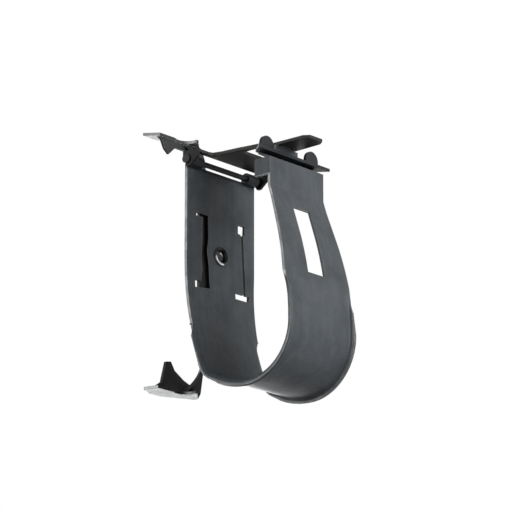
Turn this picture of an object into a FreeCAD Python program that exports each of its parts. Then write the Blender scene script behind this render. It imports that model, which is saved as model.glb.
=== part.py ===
import FreeCAD, Part
import math
import os
import Sketcher
from FreeCAD import Vector, Placement, Rotation

os.makedirs("parts", exist_ok=True)
doc = FreeCAD.newDocument("strap_hanger")
sheet = doc.addObject("Spreadsheet::Sheet", "dims")

# Frame: the rod axis is Z, X points from the rod to the front leg, Y runs across the strap.
DIMS = {
    "zero": 0.0,
    "beyond": 60.0,
    # sheet stock and the rod
    "gauge": 1.2,
    "rod_rad": 4.76,
    "grip_gap": 0.04,
    # back leg and lower loop, on the strap's inner face
    "leg_x": 18.7,
    "leg_top": 33.0,
    "bow_z": -10.0,
    "bow_rad": 100.0,
    "bow_plain": 13.297,
    "bow_fade": 2.367,
    "bow_lip": 6.636,
    "heel_run": 2.81,
    "heel_rad": 7.0,
    "heel_turn": 43.7,
    "toe_run": 5.05,
    "belly_rad": 34.0,
    "belly_turn": 24.0,
    "nose_rad": 20.0,
    "nose_turn": 90.0,
    "front_rad": 127.0,
    "front_lip": 4.2,
    "front_fade": 4.54,
    "front_plain": 9.26,
    "front_run": 17.2,
    "front_bend": 4.0,
    "front_top": 28.6,
    # widths
    "flat_half": 16.7,
    "edge_half": 19.2,
    "back_half": 20.0,
    "front_half": 16.0,
    "back_full_z": -5.0,
    "front_thin_z": 12.0,
    "back_fade_z": -33.0,
    "front_fade_z": -20.0,
    # flared lips
    "lip_bend": 1.4,
    "lip_turn": 75.0,
    "hem_end": 0.15,
    "hem_bow": 0.35,
    "hem_heel": 0.5,
    "hem_belly": 0.95,
    "beyond_back": 10.0,
    "beyond_front": 45.0,
    "taper_reach": 30.0,
    "window_x": 50.0,
    "hole_x": 15.0,
    "hole_reach": 6.0,
    # window in the front leg
    "window_top": 9.7,
    "window_low": -18.0,
    "window_half": 5.1,
    # hinge
    "pin_rad": 1.1,
    "pin_gap": 0.06,
    "pin_z": 34.5,
    "pin_head_rad": 1.8,
    "pin_head": 0.6,
    "knuckle_in": 13.4,
    "knuckle_out": 19.5,
    # rivet and its hole
    "rivet_z": -1.0,
    "rivet_rad": 3.1,
    "rivet_wall": 0.8,
    "rivet_head": 3.95,
    "rivet_rim": 0.4,
    "rivet_round": 0.4,
    # head of the front leg
    "head_x": 52.2,
    "head_front": 57.8,
    "head_z": 31.2,
    "head_back_half": 17.0,
    "web_half": 15.5,
    "neck_half": 6.8,
    "hook_half": 3.3,
    "hook_rise": 0.9,
    "knob_x": 54.0,
    "knob_y": 13.3,
    "knob_rad": 3.7,
    "knob_top": 38.2,
    "wing_back": 50.8,
    "wing_low": 21.5,
    "peep_y": 2.4,
    "peep_rad": 0.8,
    # latch arm
    "arm_z": 36.8,
    "arm_gap": 0.3,
    "arm_rear": 22.7,
    "arm_tip": 68.9,
    "slot_half": 3.6,
    "slot_wide_half": 7.2,
    "slot_step": 48.6,
    "slot_rear": 36.5,
    "slot_front": 54.6,
    "ear_gap": 0.3,
    "head_inset": 0.3,
    "ear_rear": 17.7,
    "ear_front": 25.6,
    "ear_low": 31.4,
    "ear_waist": 34.8,
    "front_face": 58.7,
    "web_run": 1.4,
    "web_drop": 0.5,
    "web_heel": 0.8,
    "peep_reach": 4.0,
    "pin_play": 0.2,
    "arm_tip_half": 3.6,
    "ear_round": 1.5,
    "flap_drop": 1.7,
    "notch_x": 0.9,
    "notch_far": 5.9,
    "notch_near": 3.0,
    "notch_edge": 4.0,
    "flap_clear": 0.8,
    # rod clip
    "clip_root_z": 31.0,
    "clip_near": 11.4,
    "clip_far": 8.0,
    "fold_z": 52.0,
}
# plan of the latch arm's near half, rear to tip (the far half mirrors it)
ARM_PLAN = (("arm_a", 25.0, 18.5), ("arm_b", 24.9, 14.0), ("arm_c", 25.6, 12.3), ("arm_d", 29.3, 11.3),
            ("arm_e", 34.2, 10.8), ("arm_f", 38.0, 10.3), ("arm_g", 42.6, 9.5), ("arm_j", 47.8, 8.8),
            ("arm_k", 50.4, 6.0), ("arm_l", 53.0, 5.6), ("arm_n", 66.4, 5.3))
# slots that free two tongues in the back leg: Y and height
NEAR_SLOT = (("near_a", -14.5, 14.3), ("near_b", -7.6, 14.2), ("near_c", -7.4, 5.0), ("near_d", -8.1, -0.3),
             ("near_e", -7.1, -6.2), ("near_f", -6.5, -15.7), ("near_g", -15.1, -16.7),
             ("near_h", -15.1, -13.6), ("near_j", -11.7, -13.6), ("near_k", -10.8, -8.8),
             ("near_l", -11.4, -2.8), ("near_m", -10.9, 3.5), ("near_n", -10.9, 12.9),
             ("near_p", -14.5, 12.9))
FAR_SLOT = (("far_a", 10.2, 14.5), ("far_b", 14.2, 14.5), ("far_c", 14.0, 10.8), ("far_d", 13.1, 10.6),
            ("far_e", 14.8, -14.2), ("far_f", 16.8, -14.2), ("far_g", 16.4, -16.7), ("far_h", 8.6, -16.7),
            ("far_j", 8.6, -14.2), ("far_k", 13.5, -14.2), ("far_l", 11.8, 10.7), ("far_m", 10.2, 10.8))
# lips of the rod clip, seen from above
LIP_LOW = (("low_a", -10.5, -12.9), ("low_b", -13.2, -6.6), ("low_c", -13.0, -0.9),
           ("low_d", -10.5, 4.6), ("low_e", -6.4, 12.6))
LIP_HIGH = (("high_a", -9.6, -15.9), ("high_b", -9.9, -8.5), ("high_c", -9.4, -4.5),
            ("high_d", -7.4, 8.0), ("high_e", -6.4, 12.6))
# toothed plates of the rod clip, seen from the front: Y and height
TOOTH_LOW = (("bite_a", -11.6, -52.0), ("bite_b", -8.6, -49.9), ("bite_c", -6.2, -41.2),
             ("bite_d", -3.4, -40.7), ("bite_e", -1.2, -44.0), ("bite_f", 4.0, -47.0),
             ("bite_g", 12.6, -50.0), ("bite_h", 12.6, -52.0))
TOOTH_HIGH = (("claw_a", -11.8, 52.0), ("claw_b", -9.8, 51.1), ("claw_c", -8.0, 47.7),
              ("claw_d", -5.5, 45.8), ("claw_e", -1.7, 49.4), ("claw_f", 4.0, 49.4),
              ("claw_g", 12.6, 50.0), ("claw_h", 12.6, 52.0))
# each flap of the rod clip, seen from above
FLAP = (("flap_a", -5.0, -1.0), ("flap_b", 3.4, 3.4), ("flap_c", 16.6, -9.8),
        ("flap_d", 16.6, -6.4), ("flap_e", 4.0, 6.2), ("flap_f", -3.0, 12.2), ("flap_g", -5.0, 12.6))

row = 1
for name, value in DIMS.items():
    sheet.set(f"A{row}", name)
    sheet.set(f"B{row}", str(value))
    sheet.setAlias(f"B{row}", name)
    row += 1
for table in (ARM_PLAN, NEAR_SLOT, FAR_SLOT, LIP_LOW, LIP_HIGH, TOOTH_LOW, TOOTH_HIGH, FLAP):
    for name, first, second in table:
        for mark, value in (("_u", first), ("_v", second)):
            sheet.set(f"A{row}", name + mark)
            sheet.set(f"B{row}", str(value))
            sheet.setAlias(f"B{row}", name + mark)
            row += 1
doc.recompute()


def value(text):
    """Number that a sum of the sheet's names stands for, such as "leg_x - gauge"."""
    total = 0.0
    sign = 1.0
    for token in text.split():
        if token in ("+", "-"):
            sign = 1.0 if token == "+" else -1.0
            continue
        total += sign * sheet.get(token)
        sign = 1.0
    return total


def minus(text):
    """The sum with every sign turned over."""
    flipped = []
    sign = "+"
    for token in text.split():
        if token in ("+", "-"):
            sign = token
            continue
        flipped += ["-" if sign == "+" else "+", token]
        sign = "+"
    return " ".join(flipped[1:] if flipped[0] == "+" else flipped)


def formula(text):
    """The same sum as an expression."""
    return " ".join(token if token in ("+", "-") else "dims." + token for token in text.split())


def names(table):
    """Corner names of a table, as pairs for an outline."""
    return [(name + "_u", name + "_v") for name, first, second in table]


def bind(obj, **terms):
    for prop, text in terms.items():
        obj.setExpression(prop.replace("__", "."), formula(text))


def place(obj, x=None, y=None, z=None):
    for axis, text in (("x", x), ("y", y), ("z", z)):
        if text:
            obj.setExpression("Placement.Base." + axis, formula(text))


TURNS = {
    "XY": Rotation(),
    "XZ": Rotation(Vector(1, 0, 0), 90),
    "YZ": Rotation(Vector(0, 1, 0), Vector(0, 0, 1), Vector(1, 0, 0), "XYZ"),
}


def polygon(name, points, plane="XY"):
    """Closed outline whose corners are bound to sums of the sheet's names."""
    sketch = doc.addObject("Sketcher::SketchObject", name)
    sketch.Placement = Placement(Vector(), TURNS[plane])
    spots = [Vector(value(u), value(v), 0) for u, v in points]
    count = len(spots)
    for i in range(count):
        sketch.addGeometry(Part.LineSegment(spots[i], spots[(i + 1) % count]), False)
    for i in range(count):
        sketch.addConstraint(Sketcher.Constraint("Coincident", i, 2, (i + 1) % count, 1))
    for i, (u, v) in enumerate(points):
        for kind, text in (("DistanceX", u), ("DistanceY", v)):
            index = sketch.addConstraint(Sketcher.Constraint(kind, -1, 1, i, 1, value(text)))
            label = f"{kind[-1].lower()}_{i}"
            sketch.renameConstraint(index, label)
            sketch.setExpression("Constraints." + label, formula(text))
    return sketch


def prism(name, base, length, direction, both=False):
    solid = doc.addObject("Part::Extrusion", name)
    solid.Base = base
    solid.DirMode = "Custom"
    solid.Dir = Vector(*direction)
    solid.Symmetric = both
    solid.Solid = True
    bind(solid, LengthFwd=length)
    return solid


def block(name, corner, size):
    solid = doc.addObject("Part::Box", name)
    place(solid, *corner)
    bind(solid, Length=size[0], Width=size[1], Height=size[2])
    return solid


def rod(name, axis, centre, radius, length):
    """Cylinder along X, Y or Z that starts at the given point."""
    solid = doc.addObject("Part::Cylinder", name)
    turn = {"X": Rotation(Vector(0, 1, 0), 90), "Y": Rotation(Vector(1, 0, 0), -90), "Z": Rotation()}
    solid.Placement = Placement(Vector(), turn[axis])
    place(solid, *centre)
    bind(solid, Radius=radius, Height=length)
    return solid


def cone(name, centre, low, high, length, ahead):
    """Cone along X whose radius goes from low to high; ahead is 1 toward the front leg, or -1."""
    solid = doc.addObject("Part::Cone", name)
    solid.Placement = Placement(Vector(), Rotation(Vector(0, 1, 0), 90 * ahead))
    place(solid, *centre)
    bind(solid, Radius1=low, Radius2=high, Height=length)
    return solid


def fuse(name, solids):
    result = doc.addObject("Part::MultiFuse", name)
    result.Shapes = solids
    return result


def cut(name, base, tools):
    result = base
    for tool in tools:
        step = doc.addObject("Part::Cut", f"{name}_{tool.Name}")
        step.Base = result
        step.Tool = tool
        result = step
    return result


def overlap(name, solids):
    result = doc.addObject("Part::MultiCommon", name)
    result.Shapes = solids
    return result


def mirrored(name, source, normal=(0, 1, 0)):
    result = doc.addObject("Part::Mirroring", name)
    result.Source = source
    result.Normal = Vector(*normal)
    return result


# Places that follow from other sizes
PIN_X = "leg_x + pin_rad + pin_gap"
PIN_Z = "pin_z"
EAR_OUT = "back_half + ear_gap + gauge"
PIN_HALF = EAR_OUT + " + pin_play"
HEAD_HALF = EAR_OUT + " - head_inset"
GRIP = "rod_rad + grip_gap"

# Path of the strap along its inner face, from the top of the back leg to the top of the front leg.
# Each stretch: kind, the names of its run or radius, and for a bend its turn and its side.
PATH = (
    ("line", "leg_top - bow_z"),
    ("bend", "bow_rad", "bow_plain", 1),
    ("bend", "bow_rad", "bow_fade", 1),
    ("bend", "bow_rad", "bow_lip", 1),
    ("line", "heel_run"),
    ("bend", "heel_rad", "heel_turn", 1),
    ("line", "toe_run"),
    ("bend", "belly_rad", "belly_turn", 1),
    ("bend", "nose_rad", "nose_turn", 1),
    ("bend", "front_rad", "front_lip", 1),
    ("bend", "front_rad", "front_fade", 1),
    ("bend", "front_rad", "front_plain", 1),
    ("line", "front_run"),
    ("bend", "front_bend", "front_lip + front_fade + front_plain", -1),
    ("line", "front_top"),
)


def walk():
    """Corner points, headings and geometry of the path in its own plane (X, Z)."""
    here = Vector(value("leg_x"), value("leg_top"), 0)
    heading = -90.0
    spots = [here]
    headings = [heading]
    shapes = []
    for index, stretch in enumerate(PATH):
        ahead = Vector(math.cos(math.radians(heading)), math.sin(math.radians(heading)), 0)
        if stretch[0] == "line":
            run = value(stretch[1])
            if index == len(PATH) - 1:
                run = value("front_top") - here.y
            there = here + ahead * run
            shapes.append(Part.LineSegment(here, there))
        else:
            radius = value(stretch[1])
            turn = value(stretch[2]) * stretch[3]
            side = Vector(-ahead.y, ahead.x, 0) * stretch[3]
            centre = here + side * radius
            spread = Rotation(Vector(0, 0, 1), turn)
            half = Rotation(Vector(0, 0, 1), turn / 2)
            there = centre + spread.multVec(here - centre)
            middle = centre + half.multVec(here - centre)
            shapes.append(Part.Arc(here, middle, there))
            heading += turn
        here = there
        spots.append(here)
        headings.append(heading)
    return spots, headings, shapes


SPOTS, HEADINGS, SHAPES = walk()


def path_sketch(name):
    """The strap's path: lines and tangent bends with their runs, radii and turns bound."""
    sketch = doc.addObject("Sketcher::SketchObject", name)
    sketch.Placement = Placement(Vector(), TURNS["XZ"])
    for shape in SHAPES:
        sketch.addGeometry(shape, False)
    ends = []
    for index, stretch in enumerate(PATH):
        forward = stretch[0] == "line" or stretch[3] > 0
        ends.append((1, 2) if forward else (2, 1))
    for index in range(len(PATH) - 1):
        sketch.addConstraint(Sketcher.Constraint("Tangent", index, ends[index][1],
                                                 index + 1, ends[index + 1][0]))
    named = []
    named.append(("start_x", "leg_x", ("DistanceX", -1, 1, 0, 1)))
    named.append(("start_z", "leg_top", ("DistanceY", -1, 1, 0, 1)))
    named.append(("bow_z", "bow_z", ("DistanceY", -1, 1, 0, 2)))
    named.append(("end_z", "front_top", ("DistanceY", -1, 1, len(PATH) - 1, 2)))
    for label, text, spec in named:
        index = sketch.addConstraint(Sketcher.Constraint(*spec, value(text)))
        sketch.renameConstraint(index, label)
        sketch.setExpression("Constraints." + label, formula(text))
    sketch.addConstraint(Sketcher.Constraint("Vertical", 0))
    for index, stretch in enumerate(PATH):
        if stretch[0] == "line":
            if index in (0, len(PATH) - 1):
                continue
            number = sketch.addConstraint(Sketcher.Constraint("Distance", index, value(stretch[1])))
            sketch.renameConstraint(number, f"run_{index}")
            sketch.setExpression(f"Constraints.run_{index}", formula(stretch[1]))
            continue
        number = sketch.addConstraint(Sketcher.Constraint("Radius", index, value(stretch[1])))
        sketch.renameConstraint(number, f"radius_{index}")
        sketch.setExpression(f"Constraints.radius_{index}", formula(stretch[1]))
        turn = math.radians(value(stretch[2]))
        number = sketch.addConstraint(Sketcher.Constraint("Angle", index, turn))
        sketch.renameConstraint(number, f"turn_{index}")
        sketch.setExpression(f"Constraints.turn_{index}", f"({formula(stretch[2])}) * 1 deg")
    return sketch


def station(sketch, index):
    """Stands a section square across the path where stretch number index starts."""
    spot = SPOTS[index]
    sketch.Placement = Placement(Vector(spot.x, 0, spot.y), Rotation(Vector(0, 1, 0), -90 - HEADINGS[index]))


def sheet_section(name, index, inner, outer):
    """Flat piece of sheet between two distances from the middle of the strap."""
    points = (("zero", inner), ("- gauge", inner), ("- gauge", outer), ("zero", outer))
    sketch = polygon(name, points)
    station(sketch, index)
    return sketch


def lip_section(name, index, side):
    """Sheet that bends outward from the strap's edge."""
    sketch = doc.addObject("Sketcher::SketchObject", name)
    gauge = value("gauge")
    bend = value("lip_bend")
    base = value("flat_half") * side
    turn = math.radians(value("lip_turn"))
    centre = Vector(-gauge - bend, base, 0)

    def around(radius, angle):
        return centre + Vector(radius * math.cos(angle), side * radius * math.sin(angle), 0)

    points = [Vector(0, base, 0), Vector(-gauge, base, 0)]
    near, far = around(bend, turn), around(bend + gauge, turn)
    sketch.addGeometry(Part.LineSegment(points[0], points[1]), False)
    sketch.addGeometry(Part.Arc(points[1], around(bend, turn / 2), near), False)
    sketch.addGeometry(Part.LineSegment(near, far), False)
    sketch.addGeometry(Part.Arc(far, around(bend + gauge, turn / 2), points[0]), False)
    first, last = (1, 2) if side > 0 else (2, 1)
    add = sketch.addConstraint
    add(Sketcher.Constraint("Coincident", 0, 2, 1, first))
    add(Sketcher.Constraint("Coincident", 1, last, 2, 1))
    add(Sketcher.Constraint("Coincident", 2, 2, 3, last))
    add(Sketcher.Constraint("Coincident", 3, first, 0, 1))
    add(Sketcher.Constraint("Coincident", 1, 3, 3, 3))
    add(Sketcher.Constraint("Horizontal", 0))
    add(Sketcher.Constraint("PointOnObject", 3, 3, 0))
    add(Sketcher.Constraint("PointOnObject", 3, 3, 2))
    named = (
        ("edge_x", ("DistanceX", -1, 1, 0, 1), "zero", 0.0, 1),
        ("edge_y", ("DistanceY", -1, 1, 0, 1), "flat_half", base, side),
        ("inner", ("Radius", 1), "lip_bend", bend, 1),
        ("outer", ("Radius", 3), "lip_bend + gauge", bend + gauge, 1),
    )
    for label, spec, text, number, sense in named:
        index_of = add(Sketcher.Constraint(*spec, number))
        sketch.renameConstraint(index_of, label)
        sign = "-" if sense < 0 else ""
        sketch.setExpression("Constraints." + label, f"{sign}({formula(text)})")
    index_of = add(Sketcher.Constraint("Angle", 1, turn))
    sketch.renameConstraint(index_of, "turn")
    sketch.setExpression("Constraints.turn", "dims.lip_turn * 1 deg")
    station(sketch, index)
    return sketch


def hem_section(name, index, side, run):
    """Straight hem that carries on from the lip's bend."""
    sketch = doc.addObject("Sketcher::SketchObject", name)
    turn = math.radians(value("lip_turn"))
    cosine = "cos(dims.lip_turn * 1 deg)"
    sine = "sin(dims.lip_turn * 1 deg)"
    sign = "-" if side < 0 else ""
    spots = []
    terms = []
    for radius, length in (("lip_bend", "zero"), ("lip_bend", run), ("lip_bend + gauge", run),
                           ("lip_bend + gauge", "zero")):
        x = value(radius) * math.cos(turn) - value(length) * math.sin(turn) - value("gauge + lip_bend")
        y = side * (value("flat_half") + value(radius) * math.sin(turn) + value(length) * math.cos(turn))
        spots.append(Vector(x, y, 0))
        ahead = f"({formula(radius)}) * {cosine} - ({formula(length)}) * {sine}"
        aside = f"({formula(radius)}) * {sine} + ({formula(length)}) * {cosine}"
        terms.append((ahead + " - dims.gauge - dims.lip_bend", f"{sign}(dims.flat_half + {aside})"))
    for i in range(4):
        sketch.addGeometry(Part.LineSegment(spots[i], spots[(i + 1) % 4]), False)
    for i in range(4):
        sketch.addConstraint(Sketcher.Constraint("Coincident", i, 2, (i + 1) % 4, 1))
    for i, pair in enumerate(terms):
        for kind, number, text in (("DistanceX", spots[i].x, pair[0]), ("DistanceY", spots[i].y, pair[1])):
            index_of = sketch.addConstraint(Sketcher.Constraint(kind, -1, 1, i, 1, number))
            label = f"{kind[-1].lower()}_{i}"
            sketch.renameConstraint(index_of, label)
            sketch.setExpression("Constraints." + label, text)
    station(sketch, index)
    return sketch


def sweep(name, section, spine, first, last):
    """Carries a section along stretches first to last of the path."""
    middles = []
    for shape in SHAPES[first:last + 1]:
        half = (shape.FirstParameter + shape.LastParameter) / 2
        spot = shape.value(half)
        middles.append(Vector(spot.x, 0, spot.y))
    edges = []
    for number, edge in enumerate(spine.Shape.Edges):
        half = edge.valueAt((edge.FirstParameter + edge.LastParameter) / 2)
        if min(half.distanceToPoint(spot) for spot in middles) < value("gauge") / 100:
            edges.append(f"Edge{number + 1}")
    result = doc.addObject("Part::Sweep", name)
    result.Sections = [section]
    result.Spine = (spine, edges)
    result.Solid = True
    result.Frenet = False
    return result


def loft(name, sections):
    result = doc.addObject("Part::Loft", name)
    result.Sections = sections
    result.Solid = True
    result.Ruled = True
    return result


# Strap: the flat band, its edge strips, the flared lips and the fades between them
spine = path_sketch("strap_path")
doc.recompute()
LAST = len(PATH) - 1
pieces = [sweep("band", sheet_section("band_section", 0, "- flat_half", "flat_half"), spine, 0, LAST)]
for side, tag in ((-1, "near"), (1, "far")):
    sign = "- " if side < 0 else ""
    inner = sign + "flat_half"
    outer = sign + "back_half"
    edge = sign + "edge_half"
    pieces.append(sweep("back_strip_" + tag, sheet_section("back_strip_section_" + tag, 0, inner, outer),
                        spine, 0, 1))
    pieces.append(loft("back_fade_" + tag, [sheet_section("back_fade_flat_" + tag, 2, inner, edge),
                                            lip_section("back_fade_bent_" + tag, 3, side)]))
    pieces.append(sweep("lip_" + tag, lip_section("lip_section_" + tag, 3, side), spine, 3, 9))
    for spot, start, end in ((3, "hem_end", "hem_bow"), (4, "hem_bow", "hem_heel"),
                             (6, "hem_heel", "hem_belly"), (9, "hem_belly", "hem_end")):
        pieces.append(loft(f"hem_{spot}_{tag}", [hem_section(f"hem_start_{spot}_{tag}", spot, side, start),
                                                 hem_section(f"hem_stop_{spot}_{tag}", spot + 1, side, end)]))
    pieces.append(sweep("hem_heel_" + tag, hem_section("hem_heel_section_" + tag, 5, side, "hem_heel"),
                        spine, 5, 5))
    pieces.append(sweep("hem_belly_" + tag, hem_section("hem_belly_section_" + tag, 7, side, "hem_belly"),
                        spine, 7, 8))
    pieces.append(loft("front_fade_" + tag, [lip_section("front_fade_bent_" + tag, 10, side),
                                             sheet_section("front_fade_flat_" + tag, 11, inner, edge)]))
    pieces.append(sweep("front_strip_" + tag, sheet_section("front_strip_section_" + tag, 11, inner, outer),
                        spine, 11, LAST))
blank = fuse("strap_blank", pieces)

# The strap narrows from the back leg to the loop, and again up the front leg
trims = []
TAPERS = (("back", "beyond_back", "back_half", "back_full_z", "back_fade_z"),
          ("front", "beyond_front", "front_half", "front_thin_z", "front_fade_z"))
for tag, start, wide, wide_z, low in TAPERS:
    corners = (("edge_half", low), (wide, wide_z), (wide, "beyond"), ("beyond", "beyond"), ("beyond", low))
    outline = polygon("taper_" + tag, corners, "YZ")
    place(outline, x=start)
    wedge = prism("taper_wedge_" + tag, outline, "taper_reach", (1, 0, 0))
    trims.append(wedge)
    trims.append(mirrored("taper_mirror_" + tag, wedge))

# Window in the front leg, the hole for the rivet, and two slots whose tongues stay in the sheet
trims.append(block("window", ("window_x", "- window_half", "window_low"),
                   ("taper_reach", "window_half + window_half", "window_top - window_low")))
trims.append(rod("rivet_hole", "X", ("hole_x", "zero", "rivet_z"), "rivet_rad", "hole_reach"))
for tag, table in (("near", NEAR_SLOT), ("far", FAR_SLOT)):
    outline = polygon("slot_outline_" + tag, names(table), "YZ")
    place(outline, x="hole_x")
    trims.append(prism("slot_" + tag, outline, "hole_reach", (1, 0, 0)))

# Hinge knuckles: the two ends of the back leg's top edge curl round the pin
ring = rod("knuckle_ring", "Y", (PIN_X, "knuckle_in", PIN_Z), "pin_rad + pin_gap + gauge",
           "knuckle_out - knuckle_in")
stem = block("knuckle_stem", ("leg_x - gauge", "knuckle_in", "leg_top - gauge"),
             ("gauge", "knuckle_out - knuckle_in", "pin_z - leg_top + gauge"))
knuckle = fuse("knuckle_far", [ring, stem])
knuckles = [knuckle, mirrored("knuckle_near", knuckle)]
pin_bore = rod("pin_bore", "Y", (PIN_X, "- back_half", PIN_Z), "pin_rad + pin_gap", "back_half + back_half")

# Head of the front leg: the sheet steps back, folds forward into a cross plate with two round
# stops, and a neck stands up from the fold and carries the hook that goes through the arm
web_outline = polygon("web_section", (
    ("front_face", "front_top - gauge"), ("front_face", "front_top"), ("head_x + web_run", "head_z"),
    ("head_x + web_run", "head_z + gauge"), ("head_x", "head_z + gauge"), ("head_x", "head_z - web_drop"),
    ("front_face - gauge", "front_top - web_heel")), "XZ")
place(web_outline, y="web_half")
web = prism("web", web_outline, "web_half + web_half", (0, -1, 0))
plate_outline = polygon("plate_plan", (("head_x", "- head_back_half"), ("head_front", minus(HEAD_HALF)),
                                       ("head_front", HEAD_HALF), ("head_x", "head_back_half")))
place(plate_outline, z="head_z")
head = [web, prism("plate", plate_outline, "gauge", (0, 0, 1))]
head.append(block("neck", ("head_x", "- neck_half", "head_z"),
                  ("gauge", "neck_half + neck_half", "arm_z - arm_gap - head_z")))
head.append(block("hook", ("head_x", "- hook_half", "arm_z - gauge"),
                  ("gauge", "hook_half + hook_half", "gauge + gauge + hook_rise")))
knob_disc = rod("knob_disc", "X", ("knob_x", "knob_y", "knob_top - knob_rad"), "knob_rad", "gauge")
knob_foot = block("knob_foot", ("knob_x", "knob_y - knob_rad", "head_z"),
                  ("gauge", "knob_rad + knob_rad", "knob_top - knob_rad - head_z"))
knob = fuse("knob_far", [knob_disc, knob_foot])
knob_floor = block("knob_floor", ("knob_x - gauge", "knob_y - knob_rad - gauge", "zero"),
                   ("gauge + gauge + gauge", "knob_rad + knob_rad + gauge + gauge", "head_z"))
knob = cut("knob", knob, [knob_floor])
head += [knob, mirrored("knob_near", knob)]
wing = block("wing_far", ("wing_back", "front_half - gauge", "wing_low"),
             ("front_face - wing_back", "gauge", "front_top - wing_low"))
head += [wing, mirrored("wing_near", wing)]
peeps = []
for tag, side in (("near", "- "), ("far", "")):
    peeps.append(rod("peep_" + tag, "X", ("wing_back", side + "peep_y", "head_z"), "peep_rad", "peep_reach"))

strap_body = fuse("strap_body", [cut("strap_cut", blank, trims)] + knuckles + head)
strap = cut("strap_open", strap_body, [pin_bore] + peeps)

# Hinge pin with two low heads
shank = rod("pin_shank", "Y", (PIN_X, minus(PIN_HALF), PIN_Z), "pin_rad", PIN_HALF + " + " + PIN_HALF)
cap = rod("pin_cap", "Y", (PIN_X, PIN_HALF, PIN_Z), "pin_head_rad", "pin_head")
hinge_pin = fuse("pin_whole", [shank, cap, mirrored("pin_cap_near", cap)])

# Latch arm: a flat tongue with a slot, and two ears bent down to the pin
plan = [("arm_rear", EAR_OUT), ("ear_front", EAR_OUT)]
plan += names(ARM_PLAN)
plan.append(("arm_tip", "arm_tip_half"))
mirror = [(u, minus(v)) for u, v in reversed(plan)]
tongue_plan = polygon("tongue_plan", plan + mirror)
place(tongue_plan, z="arm_z")
tongue = prism("tongue", tongue_plan, "gauge", (0, 0, 1))
ear_outline = polygon("ear_side", (("ear_rear", "arm_z + gauge"), ("ear_rear", PIN_Z),
                                   (PIN_X, "ear_low"), (PIN_X + " + ear_round", "ear_low"),
                                   ("ear_front", "ear_waist"), ("ear_front", "arm_z + gauge")), "XZ")
place(ear_outline, y=EAR_OUT)
ear = prism("ear_far", ear_outline, "gauge", (0, -1, 0))
slot = block("slot", ("slot_rear", "- slot_half", "arm_z - gauge"),
             ("slot_front - slot_rear", "slot_half + slot_half", "gauge + gauge + gauge"))
slot_wide = block("slot_wide", ("slot_rear", "- slot_wide_half", "arm_z - gauge"),
                  ("slot_step - slot_rear", "slot_wide_half + slot_wide_half", "gauge + gauge + gauge"))
arm_bore = rod("arm_bore", "Y", (PIN_X, minus(EAR_OUT) + " - gauge", PIN_Z), "pin_rad + pin_gap",
               EAR_OUT + " + gauge + " + EAR_OUT + " + gauge")
arm_whole = fuse("arm_whole", [tongue, ear, mirrored("ear_near", ear)])
latch_arm = cut("arm_open", arm_whole, [slot, slot_wide, arm_bore])

# Rivet: a tube whose two ends are rolled outward over the sheets
front_face_x = "leg_x + rivet_rim"
back_face_x = "leg_x - gauge - gauge - rivet_rim"
bore_rad = "rivet_rad - rivet_wall"
crown_rad = "rivet_head - rivet_round"
mouth_rad = bore_rad + " + rivet_round + rivet_round"
mouth_depth = "rivet_round + rivet_round"
rivet_neck = rod("rivet_neck", "X", ("leg_x - gauge - gauge", "zero", "rivet_z"), "rivet_rad",
                 "gauge + gauge")
rivet_core = rod("rivet_core", "X", ("hole_x - hole_reach", "zero", "rivet_z"), bore_rad,
                 "hole_reach + hole_reach")
rolls = [rod("rivet_rim_front", "X", ("leg_x", "zero", "rivet_z"), "rivet_head", "rivet_rim"),
         rod("rivet_rim_back", "X", (back_face_x, "zero", "rivet_z"), "rivet_head", "rivet_rim")]
mouths = []
for tag, face_x, inward, ahead in (("front", front_face_x, " - rivet_round", 1),
                                   ("back", back_face_x, " + rivet_round", -1)):
    rolls.append(cone("rivet_crown_" + tag, (face_x, "zero", "rivet_z"), "rivet_head", crown_rad,
                      "rivet_round", ahead))
    mouths.append(cone("rivet_mouth_" + tag, (face_x + inward, "zero", "rivet_z"), bore_rad, mouth_rad,
                       mouth_depth, ahead))
rivet = cut("rivet_open", fuse("rivet_solid", [rivet_neck] + rolls), [rivet_core] + mouths)

# Rod clip: a back plate under the strap, and at each end a flap that passes the rod, a toothed
# plate behind the rod and a lip that turns away from it
clip_plate = block("clip_plate", ("leg_x - gauge - gauge", "- clip_near", "- clip_root_z"),
                   ("gauge", "clip_near + clip_far", "clip_root_z + clip_root_z"))
clip = [clip_plate]
flap_plan = polygon("flap_plan", names(FLAP))
place(flap_plan, z="zero")
flap_column = prism("flap_column", flap_plan, "beyond", (0, 0, 1))
slope_outline = polygon("flap_slope", (("leg_x - gauge", "clip_root_z"), (minus(GRIP), "fold_z + gauge"),
                                       (minus(GRIP), "fold_z + gauge - flap_drop"),
                                       ("leg_x - gauge", "clip_root_z - flap_drop")), "XZ")
place(slope_outline, y="beyond")
slope = prism("flap_slab", slope_outline, "beyond + beyond", (0, -1, 0))
flap_space = rod("flap_space", "Z", ("zero", "zero", "zero"), GRIP + " + flap_clear", "beyond")
flap = cut("flap", overlap("flap_high", [flap_column, slope]), [flap_space])
clip += [flap, mirrored("flap_low", flap, (0, 0, 1))]
for tag, teeth, lip, floor in (("low", TOOTH_LOW, LIP_LOW, "- fold_z - gauge"),
                               ("high", TOOTH_HIGH, LIP_HIGH, "fold_z")):
    tooth_outline = polygon("tooth_" + tag, names(teeth), "YZ")
    place(tooth_outline, x=minus(GRIP) + " - gauge")
    clip.append(prism("tooth_plate_" + tag, tooth_outline, "gauge", (1, 0, 0)))
    corners = [("- notch_edge", teeth[0][0] + "_u")]
    corners += names(lip)
    corners += [(minus(GRIP), teeth[-1][0] + "_u"), ("notch_x", "notch_far"), ("notch_x", "notch_near"),
                ("- notch_edge", "zero")]
    lip_outline = polygon("lip_plan_" + tag, corners)
    place(lip_outline, z=floor)
    clip.append(prism("lip_plate_" + tag, lip_outline, "gauge", (0, 0, 1)))
rod_space = rod("rod_space", "Z", ("zero", "zero", "- beyond"), GRIP, "beyond + beyond")
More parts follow.
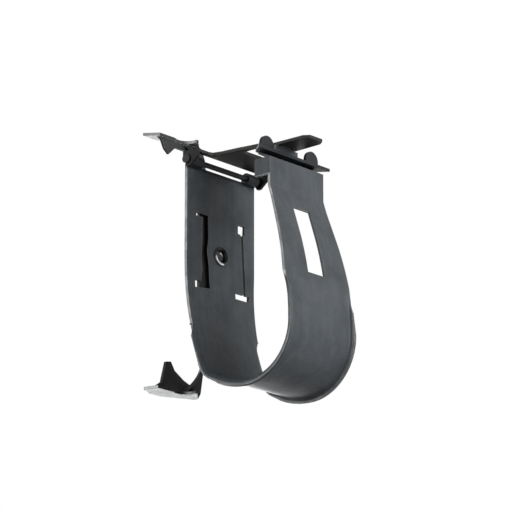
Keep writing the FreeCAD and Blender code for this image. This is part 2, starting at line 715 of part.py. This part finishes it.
clip_hole = rod("clip_hole", "X", ("hole_x - hole_reach", "zero", "rivet_z"), "rivet_rad",
                "hole_reach + hole_reach")
rod_clip = cut("clip_open", fuse("clip_whole", clip), [rod_space, clip_hole])

doc.recompute()
faults = [obj.Name for obj in doc.Objects if "Invalid" in obj.State or "Error" in obj.State]
if faults:
    raise SystemExit("failed: " + ", ".join(faults))
NODES = {"strap": strap, "hinge_pin": hinge_pin, "latch_arm": latch_arm, "rivet": rivet, "rod_clip": rod_clip}
for name, obj in NODES.items():
    obj.Label = name
    if obj.Shape.isNull() or not obj.Shape.isValid():
        raise SystemExit("bad shape: " + name)
    print(name, "solids", len(obj.Shape.Solids), "volume", round(obj.Shape.Volume, 1), obj.Shape.BoundBox)
for name, obj in NODES.items():
    obj.Shape.exportStep(f"parts/{name}.step")
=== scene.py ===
import bpy
import bmesh
import math
from mathutils import Matrix, Vector


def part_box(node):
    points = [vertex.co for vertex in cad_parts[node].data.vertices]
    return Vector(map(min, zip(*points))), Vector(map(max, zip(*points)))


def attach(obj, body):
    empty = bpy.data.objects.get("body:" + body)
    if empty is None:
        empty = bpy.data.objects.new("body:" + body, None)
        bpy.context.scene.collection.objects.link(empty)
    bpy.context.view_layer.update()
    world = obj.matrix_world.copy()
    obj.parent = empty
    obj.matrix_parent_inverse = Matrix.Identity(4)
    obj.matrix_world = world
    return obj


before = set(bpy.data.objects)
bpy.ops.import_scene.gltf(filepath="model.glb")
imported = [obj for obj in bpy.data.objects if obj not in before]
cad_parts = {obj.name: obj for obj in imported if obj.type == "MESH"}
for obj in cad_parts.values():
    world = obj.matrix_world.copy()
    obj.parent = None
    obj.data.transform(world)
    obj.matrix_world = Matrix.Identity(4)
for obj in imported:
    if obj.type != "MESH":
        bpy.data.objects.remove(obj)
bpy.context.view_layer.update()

MM = 0.001


def mm(*sizes):
    """Sizes in millimetres, as metres."""
    return tuple(size * MM for size in sizes)


# Camera: the photograph looks up at the hanger from below its right-hand front. Sensor and lens are in
# millimetres, and the rest is in metres
AZIMUTH = math.radians(41.5)
ELEVATION = math.radians(-16.5)
DISTANCE = 1.3
SENSOR = 36.0
LENS = 228.5
NEAREST = 0.05
FARTHEST = 50.0
TARGET = Vector(mm(21.27, 17.60, 3.08))

# Places that the finishes and the rivet's tail are measured from
RIVET_LOW, RIVET_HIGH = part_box("rivet")
RIVET_MIDDLE = (RIVET_LOW + RIVET_HIGH) / 2
RIVET_RADIUS = RIVET_HIGH.z - RIVET_MIDDLE.z
LEG_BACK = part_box("strap")[0].x
CLIP_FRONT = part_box("rod_clip")[1].x
CLIP_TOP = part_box("rod_clip")[1].z
ARM_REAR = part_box("latch_arm")[0].x
ARM_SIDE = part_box("latch_arm")[1].y

# Tail inside the rivet: its radius as a share of the rivet's, its depth in the mouth and its rise
TAIL_SHARE = 0.595
TAIL_DEPTH = 1.3 * MM
TAIL_DOME = 0.35 * MM
TAIL_RINGS = 6
TAIL_SIDES = 40

# Textures of the coat: scale, detail and roughness, and the stretch of those that are uneven
CLOUD = (55.0, 5.0, 0.62)
BLOTCH = (190.0, 4.0, 0.70)
GRAIN = (1500.0, 3.0, 0.60)
DRAWN = (380.0, 2.0, 0.50, (1.0, 1.0, 0.08))
STREAKS = (300.0, 3.0, 0.60, (0.3, 1.0, 1.0))

# What a texture does to the coat: where it starts, where it is at its most, and that most
CLOUD_TONE = (0.34, 0.68, 1.0)
BLOTCH_TONE = (0.58, 0.76, 0.50)
DRAWN_TONE = (0.35, 0.70, 0.30)
GRAIN_TONE = (0.75, 0.30, 0.22)

# Share of the dark colour that is left in drawing lines, in pores, in painted shade and on the darkened head
DRAWN_SHADE = 0.60
GRAIN_SHADE = 0.55
DEEP_SHADE = 0.12

# What a texture does to rubbed places, to the painted highlight and sheen on edges and lips, and to
# roughness: two texture values and what each one gives
EDGE_PATCHES = (0.35, 0.60, 0.45, 1.0)
SHEAR_PATCHES = (0.30, 0.60, 0.50, 1.0)
LIP_PATCHES = (0.30, 0.62, 0.75, 1.0)
GRAIN_ROUGHNESS = (0.30, 0.75, 0.05, -0.04)
# The cloud adds its roughness at the first of its two values, and none at the second
CLOUD_ROUGHNESS = 0.10
CLOUD_RANGE = (0.32, 0.70)

# Relief of the coat: strength and height
DRAWN_RELIEF = (0.10, 0.08 * MM)
GRAIN_RELIEF = (0.22, 0.05 * MM)

# Shader values of the coat, and the colour of steel, which also paints the rivet's highlights and the lips'
# sheen
COAT_METAL = 0.05
COAT_GLOSS = 0.18
STEEL = (0.67, 0.68, 0.68)
# Rounded edges: the cosine between their direction and the face's, from no wear to all of it
BEVEL_SAMPLES = 8
EDGE_TURN = (0.995, 0.88)

# Limits of each finish, painted shade and painted highlight: none of it at the first place, and all of it at
# the second. These are along X
BACK_HALF = mm(31.0, 30.0)
BACK_LEG = (LEG_BACK + 2.0 * MM, LEG_BACK + 1.8 * MM)
HEAD_FRONT = mm(53.5, 53.8)
EAR_FRONT = (ARM_REAR + 8.5 * MM, ARM_REAR + 7.9 * MM)
CONTACT_FACE = (CLIP_FRONT - 1.0 * MM, CLIP_FRONT - 0.3 * MM)
# Along Z
UNDER_HEAD = mm(22.0, 21.5)
HEAD_FOOT = mm(30.6, 31.3)
KNUCKLE_FOOT = mm(31.2, 32.5)
# Along Y or Z, as far one way from the middle as the other
SHEARED_EDGE = mm(15.2, 15.8)
EAR_SIDE = (ARM_SIDE - 1.9 * MM, ARM_SIDE - 1.3 * MM)
SLOT_REACH = mm(18.2, 17.6)
LIP_HEIGHT = (CLIP_TOP - 1.7 * MM, CLIP_TOP - 1.3 * MM)
CONTACT_END = mm(31.0, 29.0)

# How squarely a face has to look along an axis: none of the finish at the first share, all at the second
SHEARED_FACING = (0.90, 0.985)
WALL_FACING = (0.75, 0.60)
HEAD_FACING = (0.90, 0.96)
DOWN_FACING = (-0.80, -0.97)
NEAR_FACING = (-0.50, -0.80)
CONTACT_FACING = (0.85, 0.95)

# How much of each finish, painted shade, darkening and painted highlight there is at most
SHEARED_WEAR_AND_HIGHLIGHT = 0.62
HEAD_DARKENING = 0.93
HEAD_FACE_DARKENING = 0.86
KNUCKLE_SHADE = 0.85
EAR_SHADE = 0.88
LIP_EDGE_WEAR_AND_SHEEN = 0.45
RIM_SHADE_MOST = 0.95

# Rings of painted highlight and painted shade on the rivet, as distances from its axis, and how far their
# borders fade each way
RIM_HIGHLIGHT = mm(2.4, 3.7)
TAIL_HIGHLIGHT = mm(1.0, 1.9)
RIM_SHADE = mm(2.8, 3.6)
MOUTH_SHADE = mm(1.8, 2.9)
RING_SOFT = 0.2 * MM
LEAST_RADIUS = 0.1 * MM
# Direction in Y and Z of the side where the rivet rim's highlight is painted, and the share of that
# direction in a place's own: none of the painted light or shade at the first share, and all of it at the
# second
HIGHLIGHT_SIDE = (-0.53, -0.848)
RIM_HIGHLIGHT_SHARE = (0.55, 0.75)
TAIL_HIGHLIGHT_SHARE = (-0.70, -0.88)
RIM_SHADE_SHARE = (0.50, 0.00)
MOUTH_SHADE_SHARE = (0.70, 0.50)

# Floor: dark for the light that it throws back, pale where it is seen, and white beyond the sweep
FLOOR_HALF = 4.0
FLOOR_HEIGHT = -0.50
FLOOR_ROUGHNESS = 0.85
FLOOR_CAST = (0.14, 0.14, 0.14)
FLOOR_SEEN = (0.88, 0.88, 0.88)
SWEEP = (0.8, 1.4)

# Lamps: azimuth and elevation in degrees, size in metres and power in watts
LAMPS = {
    "key": (94.0, 10.0, 0.8, 11.4),
    "high": (120.0, 35.0, 0.8, 3.6),
    "side": (-25.0, 10.0, 0.8, 5.6),
    "near": (5.0, 10.0, 0.6, 2.4),
    "back": (232.0, 12.0, 0.8, 8.0),
}
LAMP_DISTANCE = 1.3
LAMP_AIM = Vector(mm(30.0, 0.0, -10.0))

# World: weak as light, and white as the backdrop, but dimmer overhead, where a ray rises by these shares
WHITE = (1.0, 1.0, 1.0)
CEILING_RISE = (0.38, 0.62)
CEILING = 0.25
AMBIENT = 0.05

# Inputs and output of a Mix node that are for colours: factor, first and second colour
MIX_INPUTS = (0, 6, 7)
MIX_OUTPUT = 2


def toward(azimuth, elevation):
    """Unit vector from the object to a place at that azimuth and elevation."""
    return Vector((math.sin(azimuth) * math.cos(elevation),
                   -math.cos(azimuth) * math.cos(elevation), math.sin(elevation)))


def link(thing):
    """Shows an object in the scene."""
    bpy.context.scene.collection.objects.link(thing)


def make_camera():
    """Camera at the photograph's viewing angle."""
    lens = bpy.data.cameras.new("view")
    lens.sensor_width = SENSOR
    lens.lens = LENS
    lens.clip_start = NEAREST
    lens.clip_end = FARTHEST
    camera = bpy.data.objects.new("view", lens)
    link(camera)
    back = toward(AZIMUTH, ELEVATION)
    right = Vector((math.cos(AZIMUTH), math.sin(AZIMUTH), 0.0))
    up = back.cross(right)
    turn = Matrix((right, up, back)).transposed().to_4x4()
    camera.matrix_world = Matrix.Translation(TARGET + back * DISTANCE) @ turn
    bpy.context.scene.camera = camera


class Tree:
    """Short calls for the nodes of one material or world."""

    def __init__(self, owner):
        owner.use_nodes = True
        self.owner = owner
        self.nodes = owner.node_tree.nodes
        self.links = owner.node_tree.links

    def add(self, kind, **settings):
        """New node with these settings."""
        node = self.nodes.new(kind)
        for key, setting in settings.items():
            setattr(node, key, setting)
        return node

    def feed(self, socket, source):
        """Links an output to a socket, or sets the socket to a number, vector or colour."""
        if isinstance(source, bpy.types.NodeSocket):
            self.links.new(source, socket)
        elif socket.type == "RGBA":
            socket.default_value = (*source, 1.0)
        else:
            socket.default_value = source

    def put(self, node, **sources):
        """Feeds a node's sockets by name."""
        for key, source in sources.items():
            self.feed(node.inputs[key], source)

    def surface(self, socket, source):
        """Feeds one socket of the material's shader."""
        self.feed(self.nodes["Principled BSDF"].inputs[socket], source)

    def place(self):
        """Coordinates on the object, in metres."""
        return self.add("ShaderNodeTexCoord").outputs["Object"]

    def axes(self, source):
        """X, Y and Z of a vector."""
        node = self.add("ShaderNodeSeparateXYZ")
        self.put(node, Vector=source)
        return node.outputs

    def noise(self, coords, scale, detail, rough, stretch=(1.0, 1.0, 1.0)):
        """Noise from 0 to 1."""
        mapping = self.add("ShaderNodeMapping")
        self.put(mapping, Vector=coords, Scale=stretch)
        node = self.add("ShaderNodeTexNoise")
        self.put(node, Vector=mapping.outputs["Vector"], Scale=scale, Detail=detail, Roughness=rough)
        return node.outputs["Fac"]

    def span(self, source, start, end, at_start, at_end):
        """Maps start..end of a number to at_start..at_end, and holds it there beyond."""
        node = self.add("ShaderNodeMapRange")
        for socket, number in zip(node.inputs, (source, start, end, at_start, at_end)):
            self.feed(socket, number)
        return node.outputs["Result"]

    def ramp(self, source, start, end, most=1.0):
        """0 at the start and before it, and the most at the end and beyond."""
        return self.span(source, start, end, 0.0, most)

    def calculate(self, operation, *numbers):
        """One step of arithmetic."""
        node = self.add("ShaderNodeMath", operation=operation)
        for socket, number in zip(node.inputs, numbers):
            self.feed(socket, number)
        return node.outputs["Value"]

    def combine(self, operation, first, *others):
        """The same arithmetic along a row of numbers, such as their product or the largest of them."""
        for other in others:
            first = self.calculate(operation, first, other)
        return first

    def unsigned(self, source):
        """A number without its sign."""
        return self.calculate("ABSOLUTE", source)

    def mix(self, factor, first, second):
        """First colour where the factor is 0, and the second where it is 1."""
        node = self.add("ShaderNodeMix", data_type="RGBA")
        for index, source in zip(MIX_INPUTS, (factor, first, second)):
            self.feed(node.inputs[index], source)
        return node.outputs[MIX_OUTPUT]

    def bump(self, height, normal, strength, distance):
        """Surface direction with a texture's relief on it."""
        node = self.add("ShaderNodeBump")
        self.put(node, Height=height, Normal=normal, Strength=strength, Distance=distance)
        return node.outputs["Normal"]


def share_of(colour, share):
    """A colour with that share of its brightness."""
    return tuple(channel * share for channel in colour)


class Coat(Tree):
    """Coated spring steel: cloudy tone, fine tooth in the coat, drawing lines and rubbed edges."""

    def __init__(self, name):
        super().__init__(bpy.data.materials.new(name))
        self.coords = self.place()
        self.normal = self.add("ShaderNodeNewGeometry").outputs["Normal"]
        self.cloud = self.noise(self.coords, *CLOUD)
        self.grain = self.noise(self.coords, *GRAIN)
        self.drawn = self.noise(self.coords, *DRAWN)
        self.blotch = self.noise(self.coords, *BLOTCH)

    def tone(self, dark, light):
        """Colour of the whole coat."""
        tone = self.mix(self.ramp(self.cloud, *CLOUD_TONE), dark, light)
        tone = self.mix(self.ramp(self.blotch, *BLOTCH_TONE), tone, light)
        tone = self.mix(self.ramp(self.drawn, *DRAWN_TONE), tone, share_of(dark, DRAWN_SHADE))
        return self.mix(self.ramp(self.grain, *GRAIN_TONE), tone, share_of(dark, GRAIN_SHADE))

    def rubbed_edges(self, rounded, wear):
        """How much of the coat is gone from the edges, in patches."""
        dot = self.add("ShaderNodeVectorMath", operation="DOT_PRODUCT")
        self.feed(dot.inputs[0], rounded)
        self.feed(dot.inputs[1], self.normal)
        steel_share = self.ramp(dot.outputs["Value"], *EDGE_TURN, wear)
        return self.combine("MULTIPLY", steel_share, self.span(self.blotch, *EDGE_PATCHES))

    def finish(self, dark, light, bright_colour, rough, edge, wear, wear_and_highlight=None, shade_and_dark=None):
        """Joins the textures to the shader, and returns the material.

        One mask takes the coat off beyond the edges, as wear and as painted highlight and sheen, and the
        other darkens the coat, as painted shade and on the head."""
        bevel = self.add("ShaderNodeBevel", samples=BEVEL_SAMPLES)
        self.put(bevel, Radius=edge)
        rounded = bevel.outputs["Normal"]
        tone = self.tone(dark, light)
        steel_share = self.rubbed_edges(rounded, wear)
        # Coat taken off beyond the edges: wear, painted highlights and painted sheen
        if wear_and_highlight is not None:
            steel_share = self.combine("MAXIMUM", steel_share, wear_and_highlight)
        # Painted shade, and the darkened head: a darker tone without wear
        if shade_and_dark is not None:
            tone = self.mix(shade_and_dark, tone, share_of(dark, DEEP_SHADE))
            steel_share = self.combine("MULTIPLY", steel_share, self.calculate("SUBTRACT", 1.0, shade_and_dark))
        self.surface("Base Color", self.mix(steel_share, tone, bright_colour))
        self.surface("Metallic", self.span(steel_share, 0.0, 1.0, COAT_METAL, 1.0))
        cloudy = self.span(self.cloud, *CLOUD_RANGE, rough + CLOUD_ROUGHNESS, rough)
        grainy = self.span(self.grain, *GRAIN_ROUGHNESS)
        self.surface("Roughness", self.calculate("ADD", cloudy, grainy))
        self.surface("Specular IOR Level", COAT_GLOSS)
        lines = self.bump(self.drawn, rounded, *DRAWN_RELIEF)
        self.surface("Normal", self.bump(self.grain, lines, *GRAIN_RELIEF))
        return self.owner


def sheared_edges(coat):
    """The sheared outer edges of the strap are paler than its faces: partly wear, and partly a painted
    highlight along them.
    """
    place = coat.axes(coat.coords)
    side = coat.ramp(coat.unsigned(coat.axes(coat.normal)["Y"]), *SHEARED_FACING)
    outer = coat.ramp(coat.unsigned(place["Y"]), *SHEARED_EDGE, SHEARED_WEAR_AND_HIGHLIGHT)
    clear = coat.combine("MAXIMUM", coat.ramp(place["Z"], *UNDER_HEAD), coat.ramp(place["X"], *BACK_HALF))
    patches = coat.span(coat.blotch, *SHEAR_PATCHES)
    return coat.combine("MULTIPLY", side, outer, clear, patches)


def strap_painted_shade_and_dark_head(coat):
    """Painted shade in the walls of the two slots and on the knuckles under the arm, and the head's plate
    and stops darkened.
    """
    place = coat.axes(coat.coords)
    facing = coat.unsigned(coat.axes(coat.normal)["X"])
    walls = coat.ramp(facing, *WALL_FACING)
    leg = coat.ramp(place["X"], *BACK_LEG)
    across = coat.ramp(coat.unsigned(place["Y"]), *SLOT_REACH)
    along = coat.ramp(coat.unsigned(place["Z"]), *SLOT_REACH)
    # Painted shade in the walls of the slots
    slots = coat.combine("MULTIPLY", walls, leg, across, along)
    # The head's plate and stops darkened
    high = coat.ramp(place["Z"], *HEAD_FOOT)
    front = coat.ramp(place["X"], *HEAD_FRONT, HEAD_DARKENING)
    head = coat.combine("MULTIPLY", high, front, coat.span(facing, *HEAD_FACING, 1.0, HEAD_FACE_DARKENING))
    # Painted shade on the knuckles under the arm
    curled = coat.ramp(place["Z"], *KNUCKLE_FOOT, KNUCKLE_SHADE)
    knuckles = coat.combine("MULTIPLY", curled, coat.ramp(place["X"], *BACK_HALF))
    return coat.combine("MAXIMUM", slots, head, knuckles)


def painted_shade_ears(coat):
    """Painted shade on the arm's two ears, so they are darker than its tongue."""
    place = coat.axes(coat.coords)
    side = coat.ramp(coat.unsigned(place["Y"]), *EAR_SIDE, EAR_SHADE)
    return coat.combine("MULTIPLY", side, coat.ramp(place["X"], *EAR_FRONT))


def lips_bare_and_painted_sheen(coat):
    """The undersides and near edges of the clip's two lips show steel: partly rubbed through, and partly a
    painted sheen that brightens the faces turned down and to the near side.
    """
    facing = coat.axes(coat.normal)
    down = coat.ramp(facing["Z"], *DOWN_FACING)
    near = coat.ramp(facing["Y"], *NEAR_FACING, LIP_EDGE_WEAR_AND_SHEEN)
    lip = coat.ramp(coat.unsigned(coat.axes(coat.coords)["Z"]), *LIP_HEIGHT)
    streaks = coat.span(coat.noise(coat.coords, *STREAKS), *LIP_PATCHES)
    return coat.combine("MULTIPLY", coat.combine("MAXIMUM", down, near), lip, streaks)


def painted_shade_contact(coat):
    """Painted shade on the clip's plate where it lies against the back leg and is seen through the slots."""
    place = coat.axes(coat.coords)
    facing = coat.ramp(coat.axes(coat.normal)["X"], *CONTACT_FACING)
    front = coat.ramp(place["X"], *CONTACT_FACE)
    along = coat.ramp(coat.unsigned(place["Z"]), *CONTACT_END)
    return coat.combine("MULTIPLY", facing, front, along)


def around_rivet(coat):
    """Distance from the rivet's axis, and the share of it that points to the side where the rim's highlight
    is painted.
    """
    place = coat.axes(coat.coords)
    across = place["Y"]
    high = coat.calculate("SUBTRACT", place["Z"], RIVET_MIDDLE.z)
    squares = [coat.calculate("MULTIPLY", way, way) for way in (across, high)]
    radius = coat.calculate("SQRT", coat.calculate("ADD", *squares))
    slants = [coat.calculate("MULTIPLY", way, part) for way, part in zip((across, high), HIGHLIGHT_SIDE)]
    least = coat.calculate("MAXIMUM", radius, LEAST_RADIUS)
    return radius, coat.calculate("DIVIDE", coat.calculate("ADD", *slants), least)


def part_of_ring(coat, radius, share, ring, shares, most=1.0):
    """A stretch of a ring round the rivet's axis."""
    inner, outer = ring
    rise = coat.ramp(radius, inner - RING_SOFT, inner + RING_SOFT)
    fall = coat.ramp(radius, outer + RING_SOFT, outer - RING_SOFT)
    return coat.combine("MULTIPLY", rise, fall, coat.ramp(share, *shares, most))


def painted_rim_highlights(coat, radius, share):
    """Painted highlights: a bright crescent on the lower part of the rivet's rolled rim, and a bright streak
    on the tail in its mouth on the upper far side.
    """
    rim = part_of_ring(coat, radius, share, RIM_HIGHLIGHT, RIM_HIGHLIGHT_SHARE)
    tail = part_of_ring(coat, radius, share, TAIL_HIGHLIGHT, TAIL_HIGHLIGHT_SHARE)
    return coat.combine("MAXIMUM", rim, tail)


def painted_mouth_shade(coat, radius, share):
    """Painted shade inside the rivet's mouth and on the upper part of its rim."""
    rim = part_of_ring(coat, radius, share, RIM_SHADE, RIM_SHADE_SHARE, RIM_SHADE_MOST)
    mouth = part_of_ring(coat, radius, share, MOUTH_SHADE, MOUTH_SHADE_SHARE)
    return coat.combine("MAXIMUM", rim, mouth)


def strap_coat():
    """Blue-grey coat with pale sheared edges that carry a painted highlight, painted shade in the slots and
    on the knuckles, and a darkened head.
    """
    coat = Coat("strap_coat")
    return coat.finish(dark=(0.068, 0.078, 0.087), light=(0.126, 0.140, 0.153), bright_colour=(0.40, 0.40, 0.39),
                       rough=0.36, edge=0.35 * MM, wear=0.60,
                       wear_and_highlight=sheared_edges(coat), shade_and_dark=strap_painted_shade_and_dark_head(coat))


def arm_coat():
    """Black coat, with painted shade on the ears."""
    coat = Coat("arm_coat")
    return coat.finish(dark=(0.026, 0.027, 0.024), light=(0.050, 0.051, 0.045), bright_colour=(0.25, 0.25, 0.23),
                       rough=0.40, edge=0.30 * MM, wear=0.40, shade_and_dark=painted_shade_ears(coat))


def clip_coat():
    """Dark coat, gone from the lips, which also carry a painted sheen, and painted shade where the plate
    lies against the back leg.
    """
    coat = Coat("clip_coat")
    return coat.finish(dark=(0.036, 0.037, 0.039), light=(0.057, 0.058, 0.061), bright_colour=STEEL,
                       rough=0.36, edge=0.30 * MM, wear=0.30,
                       wear_and_highlight=lips_bare_and_painted_sheen(coat), shade_and_dark=painted_shade_contact(coat))


def pin_coat():
    """Black coat."""
    coat = Coat("pin_coat")
    return coat.finish(dark=(0.026, 0.027, 0.026), light=(0.048, 0.049, 0.047), bright_colour=(0.30, 0.30, 0.30),
                       rough=0.34, edge=0.20 * MM, wear=0.30)


def rivet_coat():
    """Smooth dark coat, with a painted highlight crescent on the rim and a painted highlight streak in the
    mouth, and painted shade in the mouth and on the upper rim.
    """
    coat = Coat("rivet_coat")
    radius, share = around_rivet(coat)
    return coat.finish(dark=(0.045, 0.048, 0.052), light=(0.073, 0.077, 0.083), bright_colour=STEEL,
                       rough=0.26, edge=0.40 * MM, wear=0.35,
                       wear_and_highlight=painted_rim_highlights(coat, radius, share), shade_and_dark=painted_mouth_shade(coat, radius, share))


def ring_of_points(shape, x, radius):
    """Points round the rivet's axis."""
    points = []
    for side in range(TAIL_SIDES):
        angle = math.tau * side / TAIL_SIDES
        points.append(shape.verts.new((x, RIVET_MIDDLE.y + radius * math.cos(angle),
                                       RIVET_MIDDLE.z + radius * math.sin(angle))))
    return points


def tail_mesh():
    """Shallow dome whose rim lies a little way in from the rivet's mouth."""
    rim_x = RIVET_HIGH.x - TAIL_DEPTH
    radius = RIVET_RADIUS * TAIL_SHARE
    shape = bmesh.new()
    rings = []
    for step in range(TAIL_RINGS):
        share = 1.0 - step / TAIL_RINGS
        rings.append(ring_of_points(shape, rim_x + TAIL_DOME * (1.0 - share * share), radius * share))
    top = shape.verts.new((rim_x + TAIL_DOME, RIVET_MIDDLE.y, RIVET_MIDDLE.z))
    for outer, inner in zip(rings, rings[1:]):
        for side in range(TAIL_SIDES):
            after = (side + 1) % TAIL_SIDES
            shape.faces.new((outer[side], outer[after], inner[after], inner[side]))
    for side in range(TAIL_SIDES):
        shape.faces.new((rings[-1][side], rings[-1][(side + 1) % TAIL_SIDES], top))
    for face in shape.faces:
        face.smooth = True
    bmesh.ops.recalc_face_normals(shape, faces=shape.faces)
    mesh = bpy.data.meshes.new("rivet_tail")
    shape.to_mesh(mesh)
    shape.free()
    return mesh


def rivet_tail(finish):
    """The dome that closes the rivet's tube."""
    mesh = tail_mesh()
    mesh.materials.append(finish)
    tail = bpy.data.objects.new("rivet_tail", mesh)
    link(tail)
    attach(tail, "hanger")


def backdrop_rays(tree):
    """1 for rays that show the backdrop, seen straight, in a reflection or through glass."""
    rays = tree.add("ShaderNodeLightPath").outputs
    return tree.combine("MAXIMUM", rays["Is Camera Ray"], rays["Is Glossy Ray"], rays["Is Transmission Ray"])


def floor_paint():
    """Plain paint, white far out where the backdrop is seen."""
    paint = Tree(bpy.data.materials.new("floor_paint"))
    seen = backdrop_rays(paint)
    distance = paint.add("ShaderNodeVectorMath", operation="LENGTH")
    paint.feed(distance.inputs[0], paint.place())
    sweep = paint.ramp(distance.outputs["Value"], *SWEEP)
    paint.surface("Base Color", paint.mix(seen, FLOOR_CAST, FLOOR_SEEN))
    paint.surface("Emission Strength", paint.combine("MULTIPLY", sweep, seen))
    paint.surface("Emission Color", WHITE)
    paint.surface("Roughness", FLOOR_ROUGHNESS)
    return paint.owner


def make_floor():
    """Square floor far below the hanger."""
    mesh = bpy.data.meshes.new("floor")
    corners = [(x * FLOOR_HALF, y * FLOOR_HALF, FLOOR_HEIGHT)
               for x, y in ((-1, -1), (1, -1), (1, 1), (-1, 1))]
    mesh.from_pydata(corners, [], [(0, 1, 2, 3)])
    mesh.materials.append(floor_paint())
    floor = bpy.data.objects.new("floor", mesh)
    link(floor)


def make_lamp(name, azimuth, elevation, size, power):
    """Round soft lamp that shines at the hanger."""
    lamp = bpy.data.lights.new(name, "AREA")
    lamp.shape = "DISK"
    lamp.size = size
    lamp.energy = power
    holder = bpy.data.objects.new(name, lamp)
    link(holder)
    way = toward(math.radians(azimuth), math.radians(elevation))
    holder.location = LAMP_AIM + way * LAMP_DISTANCE
    holder.rotation_mode = "QUATERNION"
    holder.rotation_quaternion = way.to_track_quat("Z", "Y")


def background(tree, strength):
    """White background of a world."""
    node = tree.add("ShaderNodeBackground")
    tree.put(node, Color=WHITE, Strength=strength)
    return node.outputs["Background"]


def make_world():
    """White all round up to a dimmer ceiling for rays that show the backdrop, weak for other light."""
    world = bpy.data.worlds.new("studio")
    tree = Tree(world)
    tree.nodes.clear()
    height = tree.axes(tree.add("ShaderNodeTexCoord").outputs["Generated"])["Z"]
    seen = background(tree, tree.span(height, *CEILING_RISE, 1.0, CEILING))
    cast = background(tree, AMBIENT)
    choice = tree.add("ShaderNodeMixShader")
    for socket, source in zip(choice.inputs, (backdrop_rays(tree), cast, seen)):
        tree.feed(socket, source)
    tree.put(tree.add("ShaderNodeOutputWorld"), Surface=choice.outputs["Shader"])
    bpy.context.scene.world = world


make_camera()
FINISHES = {
    "strap": strap_coat(),
    "latch_arm": arm_coat(),
    "rod_clip": clip_coat(),
    "hinge_pin": pin_coat(),
    "rivet": rivet_coat(),
}
for node, finish in FINISHES.items():
    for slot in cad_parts[node].material_slots:
        slot.material = finish
rivet_tail(FINISHES["rivet"])
make_floor()
for name, settings in LAMPS.items():
    make_lamp(name, *settings)
make_world()
bpy.context.scene.view_settings.view_transform = "Standard"
